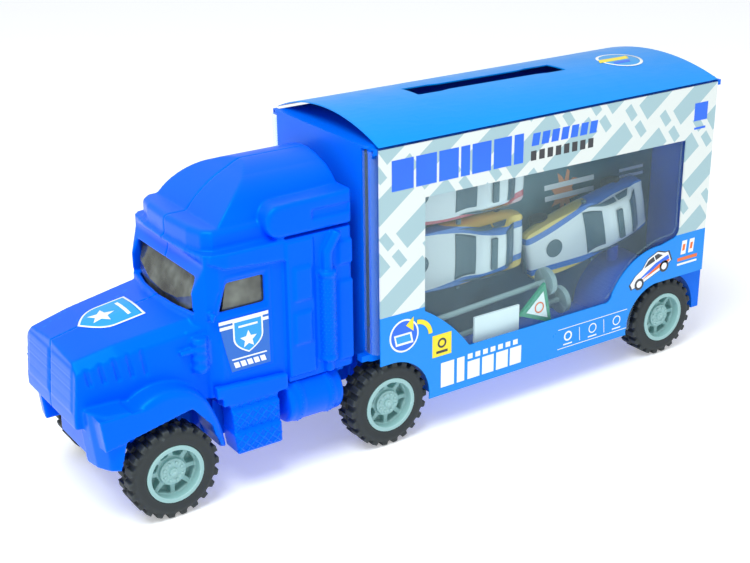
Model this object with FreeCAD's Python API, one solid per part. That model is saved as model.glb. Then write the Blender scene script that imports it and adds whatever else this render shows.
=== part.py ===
import FreeCAD, Part
import math
import os

os.makedirs("parts", exist_ok=True)

# Toy storage truck: a bonneted cab, a see-through cargo box in a printed card sleeve, six small cars inside.
# Millimetres. +X is forward, +Y is the truck's left, +Z is up, z = 0 is the ground.
V = FreeCAD.Vector

# Wheels and axles
WHEEL_R = 19.0
TREAD_DEPTH = 1.5
LUGS = 22
TYRE_IN = 25.6
TYRE_OUT = 38.2
HUB_OUT = 38.5
RIM_R = 12.0
AXLE_R = 1.5
AXLE_CLEAR = 0.05
AXLES = {"front": 125.5, "middle": 25.5, "rear": -133.4}

# Cargo box
BOX_FRONT = 34.9
BOX_REAR = -159.5
BOX_TOP = 132.5
BOX_HALF = 36.0
BOX_FLOOR = 17.8
BOX_WALL = 1.6
FRAME_BORDER = 6.0
ARCH_R = 21.5

# Card sleeve
CARD_FRONT = 31.0
CARD_REAR = -157.0
CARD_HALF = 39.0
CARD_T = 0.6
CARD_BOTTOM = 16.4
CARD_SIDE_TOP = 131.1
CARD_EDGE = 132.3
CARD_CROWN_FRONT = 140.7
CARD_CROWN_REAR = 138.6

# Side doors
HINGE_Y = 37.6
HINGE_Z = 130.6
DOOR_IN = 36.8
DOOR_OUT = 37.8
PIN_R = 0.6
LIP_Y = 32.7

# Cab
CAB_FLOOR = 41.6
SLEEPER_REAR = 40.0
SLEEPER_HALF = 33.0
CAB_HALF = 31.5
CAB_WALL = 2.2
WELL_R = 21.3
WINDOW = [(79.6, 77.0), (99.4, 77.0), (95.8, 88.4), (79.6, 88.4)]
SCREEN_LOW = 77.4
SCREEN_HIGH = 91.7

# Carry handle
HANDLE_REAR = -90.0
HANDLE_FRONT = -16.0
HANDLE_Y = -0.7
HANDLE_TRAVEL = 22.0
HANDLE_LEGS = (HANDLE_REAR + 6.0, HANDLE_FRONT - 6.0)

# Screws, each an x, y place
CAB_SCREWS = [(62.0, 20.0), (62.0, -20.0), (98.0, 18.0), (98.0, -18.0)]
BOX_SCREWS = [(31.0, 8.0), (31.0, -8.0), (-127.0, 8.0), (-127.0, -8.0)]

# Small cars: seats are x, z of the middle of the base and nose-up angle
CAR_LENGTH = 72.0
CAR_WIDTH = 30.0
CAR_SEATS = [(-28.0, 98.8, 0.0), (-28.0, 67.4, 0.0), (-104.5, 63.0, 12.3)]
CAR_BASE_Y = 3.0


def box(x0, x1, y0, y1, z0, z1):
    return Part.makeBox(x1 - x0, y1 - y0, z1 - z0, V(x0, y0, z0))


def cyl_y(x, z, r, y0, y1):
    return Part.makeCylinder(r, y1 - y0, V(x, y0, z), V(0, 1, 0))


def cyl_x(y, z, r, x0, x1):
    return Part.makeCylinder(r, x1 - x0, V(x0, y, z), V(1, 0, 0))


def cyl_z(x, y, r, z0, z1):
    return Part.makeCylinder(r, z1 - z0, V(x, y, z0), V(0, 0, 1))


def polar(cx, cz, r, degrees):
    a = math.radians(degrees)
    return (cx + r * math.cos(a), cz + r * math.sin(a))


def outline(path, place):
    """Closed face from corner points; a (middle, end) pair of points is an arc."""
    edges = []
    last = path[0]
    for step in path[1:] + [path[0]]:
        if isinstance(step[0], tuple):
            edges.append(Part.Arc(place(last), place(step[0]), place(step[1])).toShape())
            last = step[1]
        elif math.dist(last, step) > 1e-6:
            edges.append(Part.makeLine(place(last), place(step)))
            last = step
    return Part.Face(Part.Wire(edges))


def side_prism(path, y0, y1):
    """Outline in x, z, carried from y0 to y1."""
    return outline(path, lambda p: V(p[0], y0, p[1])).extrude(V(0, y1 - y0, 0))


def end_prism(path, x0, x1):
    """Outline in y, z, carried from x0 to x1."""
    return outline(path, lambda p: V(x0, p[0], p[1])).extrude(V(x1 - x0, 0, 0))


def plan_prism(path, z0, z1):
    """Outline in x, y, carried from z0 to z1."""
    return outline(path, lambda p: V(p[0], p[1], z0)).extrude(V(0, 0, z1 - z0))


def mirrored_plan(half):
    """Full closed plan outline from the left half's points, front to back."""
    return half + [(x, -y) for x, y in reversed(half) if abs(y) > 1e-6]


def other_side(shape):
    return shape.mirror(V(0, 0, 0), V(0, 1, 0))


def both(shape):
    return shape.fuse(other_side(shape))


def union(shapes):
    return shapes[0].multiFuse(shapes[1:]).removeSplitter() if len(shapes) > 1 else shapes[0]


def rounded(shape, radius, chosen):
    """Rounds the edges whose centre point satisfies chosen."""
    edges = [e for e in shape.Edges if chosen(e.BoundBox.Center)]
    return shape.makeFillet(radius, edges)


def save(node, shape):
    shape.exportStep("parts/" + node + ".step")


# ---------------------------------------------------------------- wheels

def tyre(x):
    """Ring with a rounded tread and chunky cross lugs."""
    core_r = WHEEL_R - TREAD_DEPTH
    section = [
        (RIM_R, TYRE_IN),
        (core_r - 1.8, TYRE_IN),
        ((core_r - 0.5, TYRE_IN + 0.6), (core_r, TYRE_IN + 2.0)),
        (core_r, TYRE_OUT - 2.0),
        ((core_r - 0.5, TYRE_OUT - 0.6), (core_r - 1.8, TYRE_OUT)),
        (RIM_R, TYRE_OUT),
    ]
    axis = V(x, 0, WHEEL_R)
    core = outline(section, lambda p: V(x + p[0], p[1], WHEEL_R)).revolve(axis, V(0, 1, 0), 360)
    middle = (TYRE_IN + TYRE_OUT) / 2
    lugs = []
    for i in range(LUGS):
        for side, phase in ((0, 0.0), (1, 0.5)):
            y0 = TYRE_IN + 0.8 if side == 0 else middle + 0.4
            y1 = middle - 0.4 if side == 0 else TYRE_OUT - 0.5
            lug = box(x - 1.4, x + 1.4, y0, y1, WHEEL_R + core_r - 1.0, WHEEL_R + WHEEL_R)
            lug.rotate(axis, V(0, 1, 0), (i + phase) * 360.0 / LUGS)
            lugs.append(lug)
    return core.multiFuse(lugs)


def hub(x):
    """Rim with eight windows, thin spokes, a raised centre disc and a blind axle bore."""
    rim = cyl_y(x, WHEEL_R, RIM_R, TYRE_IN + 2.0, HUB_OUT)
    dish = cyl_y(x, WHEEL_R, RIM_R - 1.8, HUB_OUT - 4.2, HUB_OUT + 1)
    disc = cyl_y(x, WHEEL_R, 5.5, HUB_OUT - 4.2, HUB_OUT - 2.7)
    body = rim.cut(dish).fuse(disc)
    rivets = [cyl_y(*polar(x, WHEEL_R, 3.8, i * 45), 0.7, HUB_OUT - 2.8, HUB_OUT - 2.3) for i in range(8)]
    body = body.multiFuse(rivets)
    windows = []
    for i in range(8):
        gap = side_prism([(x - 1.5, WHEEL_R + 6.3), (x + 1.5, WHEEL_R + 6.3), (x + 3.0, WHEEL_R + 9.6),
                          (x - 3.0, WHEEL_R + 9.6)], HUB_OUT - 7.5, HUB_OUT)
        gap.rotate(V(x, 0, WHEEL_R), V(0, 1, 0), 22.5 + i * 45)
        windows.append(gap)
    body = body.cut(Part.makeCompound(windows))
    return body.cut(cyl_y(x, WHEEL_R, AXLE_R, TYRE_IN, HUB_OUT - 2.0))


def axle(x):
    half = HUB_OUT - 2.0
    return cyl_y(x, WHEEL_R, AXLE_R, -half, half)


def make_wheels():
    for name, x in AXLES.items():
        left_tyre, left_hub = tyre(x), hub(x)
        save(name + "_tyre_left", left_tyre)
        save(name + "_tyre_right", other_side(left_tyre))
        save(name + "_hub_left", left_hub)
        save(name + "_hub_right", other_side(left_hub))
        save(name + "_axle", axle(x))


# ---------------------------------------------------------------- cargo box

def box_path(inset):
    """Side outline of the box, with a wheel arch at the front corner and one over the rear wheels."""
    mid, rear, z = AXLES["middle"], AXLES["rear"], WHEEL_R
    r = ARCH_R + inset
    floor = BOX_FLOOR + inset
    drop = z - floor
    reach = math.sqrt(r * r - drop * drop)
    tail = max(rear - reach, BOX_REAR + inset + 0.4)
    tail_floor = z + math.sqrt(max(r * r - (rear - tail) ** 2, drop * drop)) if inset > 2.0 else floor
    path = [
        (BOX_FRONT - inset, BOX_TOP - inset),
        (BOX_FRONT - inset, z + r),
        (mid, z + r),
        (polar(mid, z, r, 135), (mid - reach, floor)),
        (rear + reach, floor),
        (polar(rear, z, r, 45), (rear, z + r)),
    ]
    if inset > 2.0:
        path += [(BOX_REAR + inset, z + r)]
    else:
        path += [(polar(rear, z, r, 135), (tail, tail_floor)), (BOX_REAR + inset, floor)]
    return path + [(BOX_REAR + inset, BOX_TOP - inset)]


def door_ears():
    """Small bored lugs at both ends of the roof edge that carry the left door's pins."""
    ears = []
    for x0, x1 in ((CARD_FRONT + 0.4, CARD_FRONT + 2.2), (CARD_REAR - 2.2, CARD_REAR - 0.2)):
        ear = box(x0, x1, BOX_HALF - 2, HINGE_Y + 1.1, HINGE_Z - 1.2, HINGE_Z + 1.2)
        ears.append(ear.cut(cyl_x(HINGE_Y, HINGE_Z, PIN_R + 0.06, x0 - 1, x1 + 1)))
    return ears


def cargo_box():
    """Open-sided tray: roof, headboard, humped floor, rear wall and a border round each side opening."""
    outer = side_prism(box_path(0), -BOX_HALF, BOX_HALF)
    outer = rounded(outer, 2.4, lambda c: abs(c.y) > BOX_HALF - 1e-3
                    and (c.z > BOX_TOP - 0.01 or c.x > BOX_FRONT - 0.01))
    hollow = side_prism(box_path(BOX_WALL), -BOX_HALF + 1.5, BOX_HALF - 1.5)
    opening = side_prism(box_path(FRAME_BORDER), -BOX_HALF - 1, BOX_HALF + 1)
    body = outer.cut(hollow).cut(opening)
    pocket = box(BOX_FRONT - 1.7, BOX_FRONT + 1, LIP_Y - 0.3, BOX_HALF + 1, 43.8, BOX_TOP - 0.8)
    body = body.cut(both(pocket))
    lug = box(BOX_FRONT - 1.0, 38.0, BOX_HALF - 4.0, BOX_HALF - 0.5, 41.0, 43.6)
    body = body.multiFuse([both(lug)] + [both(ear) for ear in door_ears()])
    for x in HANDLE_LEGS:
        body = body.cut(box(x - 3.3, x + 3.3, HANDLE_Y - 1.8, HANDLE_Y + 1.8, BOX_TOP - 3, BOX_TOP + 1))
    for x, y in BOX_SCREWS:
        hump = WHEEL_R + ARCH_R
        boss = cyl_z(x, y, 2.8, hump - 0.4, hump + 8)
        body = body.fuse(boss).cut(cyl_z(x, y, 1.1, hump - 3, hump + 9))
    return body


def clear_door():
    """Left door: flat pane with wheel-arch cut-outs, a lip round the front corner and two hinge pins."""
    mid, rear, z, r = AXLES["middle"], AXLES["rear"], WHEEL_R, ARCH_R + 0.5
    front, back = BOX_FRONT - 0.4, CARD_REAR + 0.2
    bottom = BOX_FLOOR
    reach = math.sqrt(r * r - (z - bottom) ** 2)
    path = [(front, HINGE_Z), (front, z + r + 3.5), (mid, z + r),
            (polar(mid, z, r, 135), (mid - reach, bottom)),
            (rear + reach, bottom), (polar(rear, z, r, 45), (rear, z + r)), (back, z + r), (back, HINGE_Z)]
    pane = side_prism(path, DOOR_IN, DOOR_OUT)
    pane = pane.cut(box(CARD_FRONT, CARD_FRONT + 2.4, DOOR_IN - 1, DOOR_OUT + 1, HINGE_Z - 2.8, HINGE_Z + 2))
    lip = box(front - 1.0, front, LIP_Y, DOOR_OUT, 44.5, HINGE_Z)
    barrel = cyl_x(HINGE_Y, HINGE_Z, 0.75, back, CARD_FRONT)
    pins = cyl_x(HINGE_Y, HINGE_Z, PIN_R, CARD_REAR - 1.8, CARD_FRONT + 1.8)
    return union([pane, lip, barrel, pins])


def divider():
    """Upright printed card down the middle of the box, clear of the floor humps and the handle legs."""
    plate = side_prism(box_path(BOX_WALL + 0.4), -0.4, 0.4)
    return plate.cut(box(HANDLE_REAR - 8, HANDLE_FRONT + 8, -5, 5, BOX_TOP - 34, BOX_TOP))


# ---------------------------------------------------------------- card sleeve

def card_side():
    """Left side panel of the sleeve, die-cut round the wheels, with the shaped display window."""
    mid, rear, z = AXLES["middle"], AXLES["rear"], WHEEL_R
    r = 19.6
    low = math.sqrt(r * r - (z - CARD_BOTTOM) ** 2)
    path = [(CARD_FRONT, CARD_SIDE_TOP), (CARD_FRONT, 38.4), (mid - 1.0, 38.5),
            (polar(mid, z, r, 140), (mid - low, CARD_BOTTOM)), (-108.3, CARD_BOTTOM),
            ((-114.0, 32.8), (-125.8, 38.6)), (CARD_REAR, 38.6), (CARD_REAR, CARD_SIDE_TOP)]
    window = [(8.6, 107.9), (8.6, 58.1), ((-4.6, 48.2), (-14.4, 37.2)), ((-15.2, 36.3), (-16.4, 36.0)),
              (-93.5, 36.0),
              ((-96.8, 36.7), (-98.3, 39.5)), ((-107.8, 50.8), (-128.0, 57.2)), (-135.5, 58.8),
              ((-138.5, 60.4), (-139.5, 64.0)), (-139.2, 106.3)]
    panel = side_prism(path, CARD_HALF - CARD_T, CARD_HALF)
    return panel.cut(side_prism(window, CARD_HALF - 2, CARD_HALF + 1))


def arch_wire(x, crown, inset):
    half = CARD_HALF - inset
    low, high = CARD_EDGE, crown - inset
    return [V(x, -half, low), V(x, 0, high), V(x, half, low)]


def card_roof():
    """Domed roof panel of the sleeve with a shaped slot for the handle."""
    wires = []
    for x, crown in ((CARD_FRONT, CARD_CROWN_FRONT), (CARD_REAR, CARD_CROWN_REAR)):
        o, i = arch_wire(x, crown, 0.0), arch_wire(x, crown, CARD_T)
        wires.append(Part.Wire([Part.Arc(*o).toShape(), Part.makeLine(o[2], i[2]),
                                Part.Arc(*reversed(i)).toShape(), Part.makeLine(i[0], o[0])]))
    roof = Part.makeLoft(wires, True, True)
    slot = [(-12.0, -7.5), (-12.0, 5.5), (-24.0, 5.5), (-29.0, 4.6), (-77.0, 4.6), (-82.0, 5.5),
            (-94.0, 5.5),
            (-94.0, -7.5), (-80.0, -7.5), ((-77.0, -6.6), (-74.0, -6.2)), (-32.0, -6.2),
            ((-29.0, -6.6), (-26.0, -7.5))]
    return roof.cut(plan_prism(slot, BOX_TOP + 2, BOX_TOP + 12))


# ---------------------------------------------------------------- handle


def carry_handle():
    """Grip bar with two legs that slide through the roof; the feet stop it at full height."""
    grip = box(HANDLE_REAR, HANDLE_FRONT, HANDLE_Y - 3.5, HANDLE_Y + 3.5, BOX_TOP + 0.4, BOX_TOP + 4.4)
    grip = rounded(grip, 1.4, lambda c: c.z > BOX_TOP + 1)
    parts = [grip]
    foot_top = BOX_TOP - BOX_WALL - HANDLE_TRAVEL - 0.1
    for x in HANDLE_LEGS:
        parts.append(box(x - 3.0, x + 3.0, HANDLE_Y - 1.5, HANDLE_Y + 1.5, foot_top - 1.0, BOX_TOP + 1.0))
        parts.append(box(x - 4.6, x + 4.6, HANDLE_Y - 2.6, HANDLE_Y + 2.6, foot_top - 2.6, foot_top))
    return union(parts)


# ---------------------------------------------------------------- cab

def nose_section(x, half, top):
    corner = 4.5
    return Part.makePolygon([V(x, half, CAB_FLOOR), V(x, half, top - corner), V(x, half - corner, top - 0.6),
                             V(x, 0, top + 1.2), V(x, corner - half, top - 0.6), V(x, -half, top - corner),
                             V(x, -half, CAB_FLOOR), V(x, half, CAB_FLOOR)])


def bonnet(inset=0.0):
    """Tapered bonnet, narrower and lower at the front, with a slightly raked face."""
    sections = [nose_section(158.2 - inset, 24.4 - inset, 67.8 - inset),
                nose_section(140.0, 26.2 - inset, 71.8 - inset),
                nose_section(106.0, 29.3 - inset, 76.6 - inset)]
    body = Part.makeLoft(sections, True, True)
    rake = side_prism([(155.2 - inset, 75.0), (158.2 - inset, 46.0), (170.0, 46.0), (170.0, 75.0)], -40, 40)
    return body.cut(rake)


def cab_core(inset=0.0):
    """Cab behind the bonnet: plan with rounded front corners, cut by the raked windscreen profile."""
    h = CAB_HALF - inset
    plan = mirrored_plan([(112.0 - inset, 0.0), (111.0 - inset, 14.0), (108.6 - inset, h - 4.6),
                          (104.5 - inset, h - 1.4),
                          (99.5 - inset, h), (70.0, h)])
    tall = plan_prism(plan, CAB_FLOOR, 101.0 - inset)
    raked = side_prism([(60.0, 40.0), (114.0, 40.0), (112.0 - inset, 77.6), (104.6 - inset, 96.0),
                        (104.6 - inset, 102.0),
                        (60.0, 102.0)], -40, 40)
    return tall.common(raked)


def sleeper():
    """Upright sleeper section with a raised front panel and four shallow plates on each side."""
    body = box(SLEEPER_REAR, 71.0, -SLEEPER_HALF, SLEEPER_HALF, CAB_FLOOR - 1.4, 101.0)
    body = rounded(body, 2.0, lambda c: abs(c.y) > SLEEPER_HALF - 0.01 and c.x < SLEEPER_REAR + 0.01)
    y = SLEEPER_HALF - 0.5
    raised = [box(58.6, 70.8, y, y + 1.5, 43.0, 100.0)]
    for x0, x1, z0, z1 in ((60.0, 67.9, 75.2, 88.9), (60.5, 68.2, 56.7, 70.0)):
        raised.append(box(x0, x1, y, y + 2.3, z0, z1))
    for x0, x1, z0, z1 in ((40.4, 46.7, 85.8, 95.5), (40.4, 47.1, 44.0, 78.6)):
        raised.append(box(x0, x1, y, y + 1.3, z0, z1))
    return union([body] + [both(p) for p in raised])


def visor():
    """Sun visor: a thin band that wraps the cab top, and the rounded block above it."""
    band = mirrored_plan([(107.4, 0.0), (106.6, 18.0), (105.0, 28.6), (102.6, 32.0), (96.0, 33.4),
                          (70.5, 33.4)])
    under = side_prism([(60.0, 92.0), (97.0, 95.0), (104.0, 98.2), (108.0, 100.0), (108.0, 101.2),
                        (60.0, 101.2)], -40, 40)
    lip = plan_prism(band, 92.0, 101.2).common(under)
    block = mirrored_plan([(105.8, 0.0), (104.8, 17.0), (102.8, 25.0), (99.5, 28.2), (62.0, 28.2)])
    crown = plan_prism(block, 100.0, 109.3)
    soft = rounded(crown, 2.4, lambda c: c.z > 109.2 and c.x > 70.0)
    return [lip, soft]


def fairing(inset=0.0):
    """Tall rounded wind deflector on the cab roof."""
    h, top = 26.6 - inset, 126.2 - inset
    arch = [(-h, 100.0), (-h, 106.0), ((-h + 4.4, 118.0 - inset), (-13.5, 123.4 - inset)),
            ((0.0, top), (13.5, 123.4 - inset)),
            ((h - 4.4, 118.0 - inset), (h, 106.0)), (h, 100.0)]
    body = end_prism(arch, SLEEPER_REAR + 1.0 + inset, 98.0)
    slope = [(30.0, 100.0), (97.0 - inset, 100.0), (96.6 - inset, 108.4),
             ((89.2 - inset, 116.2), (77.0 - inset, 123.6)),
             ((73.0, 125.6), (66.0, 127.4)), (30.0, 127.4)]
    return body.common(side_prism(slope, -40, 40))


def side_deflector():
    """Round-nosed box beside the fairing with a long recessed slot."""
    bar = side_prism([(SLEEPER_REAR, 102.0), (72.0, 102.0), ((78.8, 108.6), (72.6, 115.4)),
                      (SLEEPER_REAR, 116.2)], 20.0, 33.2)
    bar = rounded(bar, 1.6, lambda c: c.y > 33.1)
    return bar.cut(box(40.8, 58.5, 32.2, 34.0, 107.0, 111.2))


def fender():
    """Front mudguard: swept crown with a rolled outer edge, fading into a ledge over the bumper."""
    path = [(101.8, 22.0), (105.4, 23.2), (108.0, 34.0), (116.0, CAB_FLOOR + 2.0), (152.0, 36.0),
            (153.5, 49.0), (138.0, 49.0),
            ((119.5, 52.6), (107.0, 41.0)), ((103.6, 32.0), (101.8, 22.0))]
    guard = side_prism(path, 22.0, 37.0)
    return rounded(guard, 3.0, lambda c: c.y > 36.9 and c.x < 138.0 and (c.z > 43.0 or c.x < 104.5))


def bumper():
    """Bow-shaped bumper, pulled in towards its lower edge."""
    half_top = [(157.4, 0.0), (156.6, 16.0), (154.6, 28.0), (150.6, 35.0), (141.0, 37.0)]
    half_low = [(155.4, 0.0), (154.8, 15.0), (152.6, 28.0), (149.6, 33.6), (146.0, 36.0)]
    wires = []
    for half, z in ((half_low, 25.8), (half_top, 46.0), (half_top, 49.8)):
        ring = mirrored_plan(half)
        wires.append(Part.makePolygon([V(x, y, z) for x, y in ring + ring[:1]]))
    return Part.makeLoft(wires, True, True)


def grille_bars():
    """Two panels of horizontal bars either side of a centre post."""
    bars = []
    for i in range(12):
        z = 48.2 + i * 1.5
        x = 158.3 - (z - 46.0) * 0.1
        bars.append(box(x - 1.0, x + 0.35, 1.6, 21.4, z, z + 0.8))
    return bars


def stack():
    """Exhaust on the sleeper's flank: muffler with collars, lower pipe and a kinked upper pipe."""
    y = SLEEPER_HALF + 1.2
    pieces = [cyl_z(52.8, y, 3.4, 48.0, 84.0), cyl_z(52.8, y, 3.9, 46.6, 48.6),
              cyl_z(52.8, y, 3.9, 83.4, 85.4),
              cyl_z(52.8, y, 2.2, CAB_FLOOR, 47.0), cyl_z(52.8, y, 2.2, 85.0, 93.0)]
    bend = V(-4.8, 0, 7.5)
    pieces.append(Part.makeSphere(2.2, V(52.8, y, 93.0)))
    pieces.append(Part.makeCylinder(2.2, bend.Length, V(52.8, y, 93.0), bend))
    return pieces


def air_cleaner():
    """Ribbed canister with its inlet stub, on the cowl side."""
    y = CAB_HALF - 1.2
    can = [cyl_z(108.4, y, 3.0, 54.8, 69.4)]
    can += [cyl_z(108.4, y, 3.35, z, z + 1.2) for z in (56.4, 60.2, 64.0, 67.0)]
    can.append(cyl_x(y, 64.2, 1.1, 108.0, 116.6))
    can.append(box(104.0, 108.0, y - 4.0, y + 0.5, 57.0, 67.0))
    return can


def door_lines():
    """Narrow grooves: the cab door outline and the frame round its window."""
    path = [(76.6, 49.6), (97.0, 49.6), ((99.4, 60.0), (103.0, 75.0)), (97.4, 92.4), (76.6, 92.4)]
    inner = [(77.4, 50.4), (96.4, 50.4), ((98.6, 60.0), (102.0, 75.0)), (96.8, 91.6), (77.4, 91.6)]
    groove = side_prism(path, CAB_HALF - 0.9, 40).cut(side_prism(inner, CAB_HALF - 2, 41))
    frame = side_prism([(78.6, 75.4), (101.2, 75.4), (96.6, 90.2), (78.6, 90.2)], CAB_HALF - 0.6, 40)
    return groove.fuse(frame)


def louvres():
    slots = []
    for i in range(5):
        x = 128.5 + i * 5.4
        slots.append(side_prism([(x, 58.0), (x + 1.7, 58.0), (x + 3.2, 69.0 - i * 0.8),
                                 (x + 1.5, 69.0 - i * 0.8)],
                                26.2 - i * 0.55, 34.0))
    return slots


def screen_hole(y_low, y_high, x0, x1):
    """Windscreen opening: a trapezium seen from the front, cut along x."""
    return end_prism([(y_low, SCREEN_LOW), (y_high, SCREEN_HIGH), (-y_high, SCREEN_HIGH),
                      (-y_low, SCREEN_LOW)], x0, x1)


def cab_shell():
    """The whole cab moulding before it is parted on the centre plane."""
    solids = [bonnet(), cab_core(), sleeper(), fairing(), bumper()] + visor()
    solids += [both(fender()), both(side_deflector())]
    solids += [both(p) for p in stack() + air_cleaner() + grille_bars()]
    solids.append(both(box(101.8, 104.4, 29.0, 33.6, 75.0, 78.4)))
    body = union(solids)
    well = cyl_y(AXLES["front"], WHEEL_R, WELL_R, 21.0, 45.0)
    cuts = [both(well), cab_core(CAB_WALL), bonnet(CAB_WALL + 1.4), fairing(2.6)]
    cuts.append(box(SLEEPER_REAR + 2.2, 72.0, CAB_WALL - SLEEPER_HALF, SLEEPER_HALF - CAB_WALL,
                    CAB_FLOOR - 3, 98.8))
    cuts.append(box(SLEEPER_REAR + 6, 88.0, -20.0, 20.0, 96.0, 112.0))
    cuts.append(box(128.0, 153.0, -20.0, 20.0, 30.0, 47.0))
    cuts.append(screen_hole(26.6, 25.4, 100.0, 114.0))
    cuts.append(both(side_prism(WINDOW, 25.0, 40.0)))
    cuts.append(both(door_lines()))
    cuts += [both(s) for s in louvres()]
    cuts.append(box(96.0, 160.0, -20.6, 20.6, 20.0, CAB_FLOOR))
    body = body.cut(Part.makeCompound(cuts))
    for x, y in CAB_SCREWS:
        body = body.fuse(cyl_z(x, y, 3.0, CAB_FLOOR, 52.0)).cut(cyl_z(x, y, 1.1, CAB_FLOOR - 1, 51.0))
        web = box(x - 0.8, x + 0.8, 18.0, CAB_HALF - 0.3, 44.0, 50.0)
        if y < 0:
            web = other_side(web)
        body = body.fuse(web.cut(cyl_z(x, y, 1.1, CAB_FLOOR - 1, 51.0)))
    return body


def halves(body):
    big = 400.0
    left = body.common(Part.makeBox(big, big, big, V(-200, 0, -50)))
    right = body.common(Part.makeBox(big, big, big, V(-200, -big, -50)))
    return left, right


# ---------------------------------------------------------------- chassis

def box_space():
    """The cargo box's outer volume with a little air round it."""
    return side_prism(box_path(-0.25), -BOX_HALF - 1, BOX_HALF + 1)


def step_unit():
    """Three cab steps, each lower one standing further out."""
    parts = []
    for z0, z1, y in ((35.8, 41.0, 34.2), (26.4, 36.2, 35.6), (17.7, 26.8, 37.0)):
        parts.append(side_prism([(77.4, z0), (98.6 - (41.0 - z0) * 0.05, z0), (98.6, z1), (77.4, z1)],
                                26.0, y))
    return parts


def tank():
    """Round fuel tank with two straps."""
    body = rounded(cyl_x(27.4, 31.0, 9.8, 47.6, 73.0), 1.6, lambda c: True)
    straps = [cyl_x(27.4, 31.0, 10.2, x, x + 2.6) for x in (52.0, 66.4)]
    return [body] + straps


def chassis_front():
    """Floor pan with sill bars, steps, tanks, a keel and bored bosses for the front and middle axles."""
    pan = box(6.0, 118.0, -20.0, 20.0, 37.6, 40.0)
    parts = [pan, box(44.0, 104.0, -31.0, 31.0, 38.0, 40.0)]
    parts.append(box(12.0, 150.0, -14.0, 14.0, 23.0, 38.5))
    parts.append(box(48.0, 106.0, -24.0, 24.0, 21.6, 38.5))
    parts.append(box(108.0, 150.0, -19.5, 19.5, 34.0, 40.0))
    sill = side_prism([(72.0, 40.9), (117.0, 40.9), (117.0, 41.3), (72.0, 41.3)], 24.0, 30.0)
    parts.append(both(sill.fuse(box(72.0, 104.0, 24.0, 31.0, 39.5, 41.3))))
    rail = side_prism([(72.4, 41.0), (104.0, 41.0), (104.0, 47.6), (72.4, 45.4)], CAB_HALF + 0.15, 34.6)
    parts.append(both(rail.fuse(box(72.4, 104.0, 30.0, 34.6, 38.6, 41.4))))
    parts += [both(s) for s in step_unit() + tank()]
    for x in (AXLES["front"], AXLES["middle"]):
        parts.append(both(box(x - 5.0, x + 5.0, 10.0, 20.0, 14.5, 38.5)))
    body = union(parts)
    for cavity in (box(50.0, 104.0, -22.0, 22.0, 20.0, 35.6), box(110.0, 148.0, -12.0, 12.0, 20.0, 36.0)):
        body = body.cut(cavity)
    for x, y in CAB_SCREWS:
        body = body.fuse(cyl_z(x, y, 4.6, 21.6, 37.0))
    sleeper_floor = box(SLEEPER_REAR - 1, 71.2, -SLEEPER_HALF - 2, SLEEPER_HALF + 2, CAB_FLOOR - 1.6,
                        CAB_FLOOR + 2)
    mudguard_room = both(box(101.5, 120.0, 21.8, 40.0, 20.0, CAB_FLOOR + 1))
    body = body.cut(sleeper_floor).cut(box_space()).cut(mudguard_room)
    for x in (AXLES["front"], AXLES["middle"]):
        body = body.cut(cyl_y(x, WHEEL_R, AXLE_R + AXLE_CLEAR, -30, 30))
    for x, y in CAB_SCREWS + BOX_SCREWS[:2]:
        body = body.cut(cyl_z(x, y, 1.6, 20.0, 45.0)).cut(cyl_z(x, y, 3.2, 15.0, 36.0))
    return body


def chassis_rear():
    """Bored block for the rear axle, screwed up under the box's rear hump."""
    x = AXLES["rear"]
    body = box(x - 17.0, x + 17.0, -13.0, 13.0, 26.0, 40.0)
    body = union([body, both(box(x - 5.0, x + 5.0, 8.0, 20.0, 14.5, 40.0))]).cut(box_space())
    body = body.cut(cyl_y(x, WHEEL_R, AXLE_R + AXLE_CLEAR, -30, 30))
    for sx, sy in BOX_SCREWS[2:]:
        body = body.cut(cyl_z(sx, sy, 1.6, 20.0, 45.0)).cut(cyl_z(sx, sy, 3.2, 10.0, 36.0))
    return body


def screw(x, y, tip):
    return cyl_z(x, y, 2.6, 33.8, 36.0).fuse(cyl_z(x, y, 1.0, 35.5, tip)).removeSplitter()


# ---------------------------------------------------------------- glazing

def screen_glass():
    """Smoked pane lying just behind the windscreen opening."""
    slab = side_prism([(107.6, 75.2), (109.4, 75.8), (102.3, 93.4), (100.5, 92.8)], -26.9, 26.9)
    plan = mirrored_plan([(108.4, 0.0), (108.0, 12.0), (106.2, CAB_HALF - 7.2), (98.0, CAB_HALF - 4.0),
                          (90.0, CAB_HALF - 4.0)])
    return slab.common(plan_prism(plan, 70.0, 95.0))


def side_glass():
    return side_prism([(78.8, 75.8), (97.6, 75.8), (95.2, 89.6), (78.8, 89.6)], 28.0,
                      CAB_HALF - CAB_WALL - 0.1)


# ---------------------------------------------------------------- cars and other contents


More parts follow.
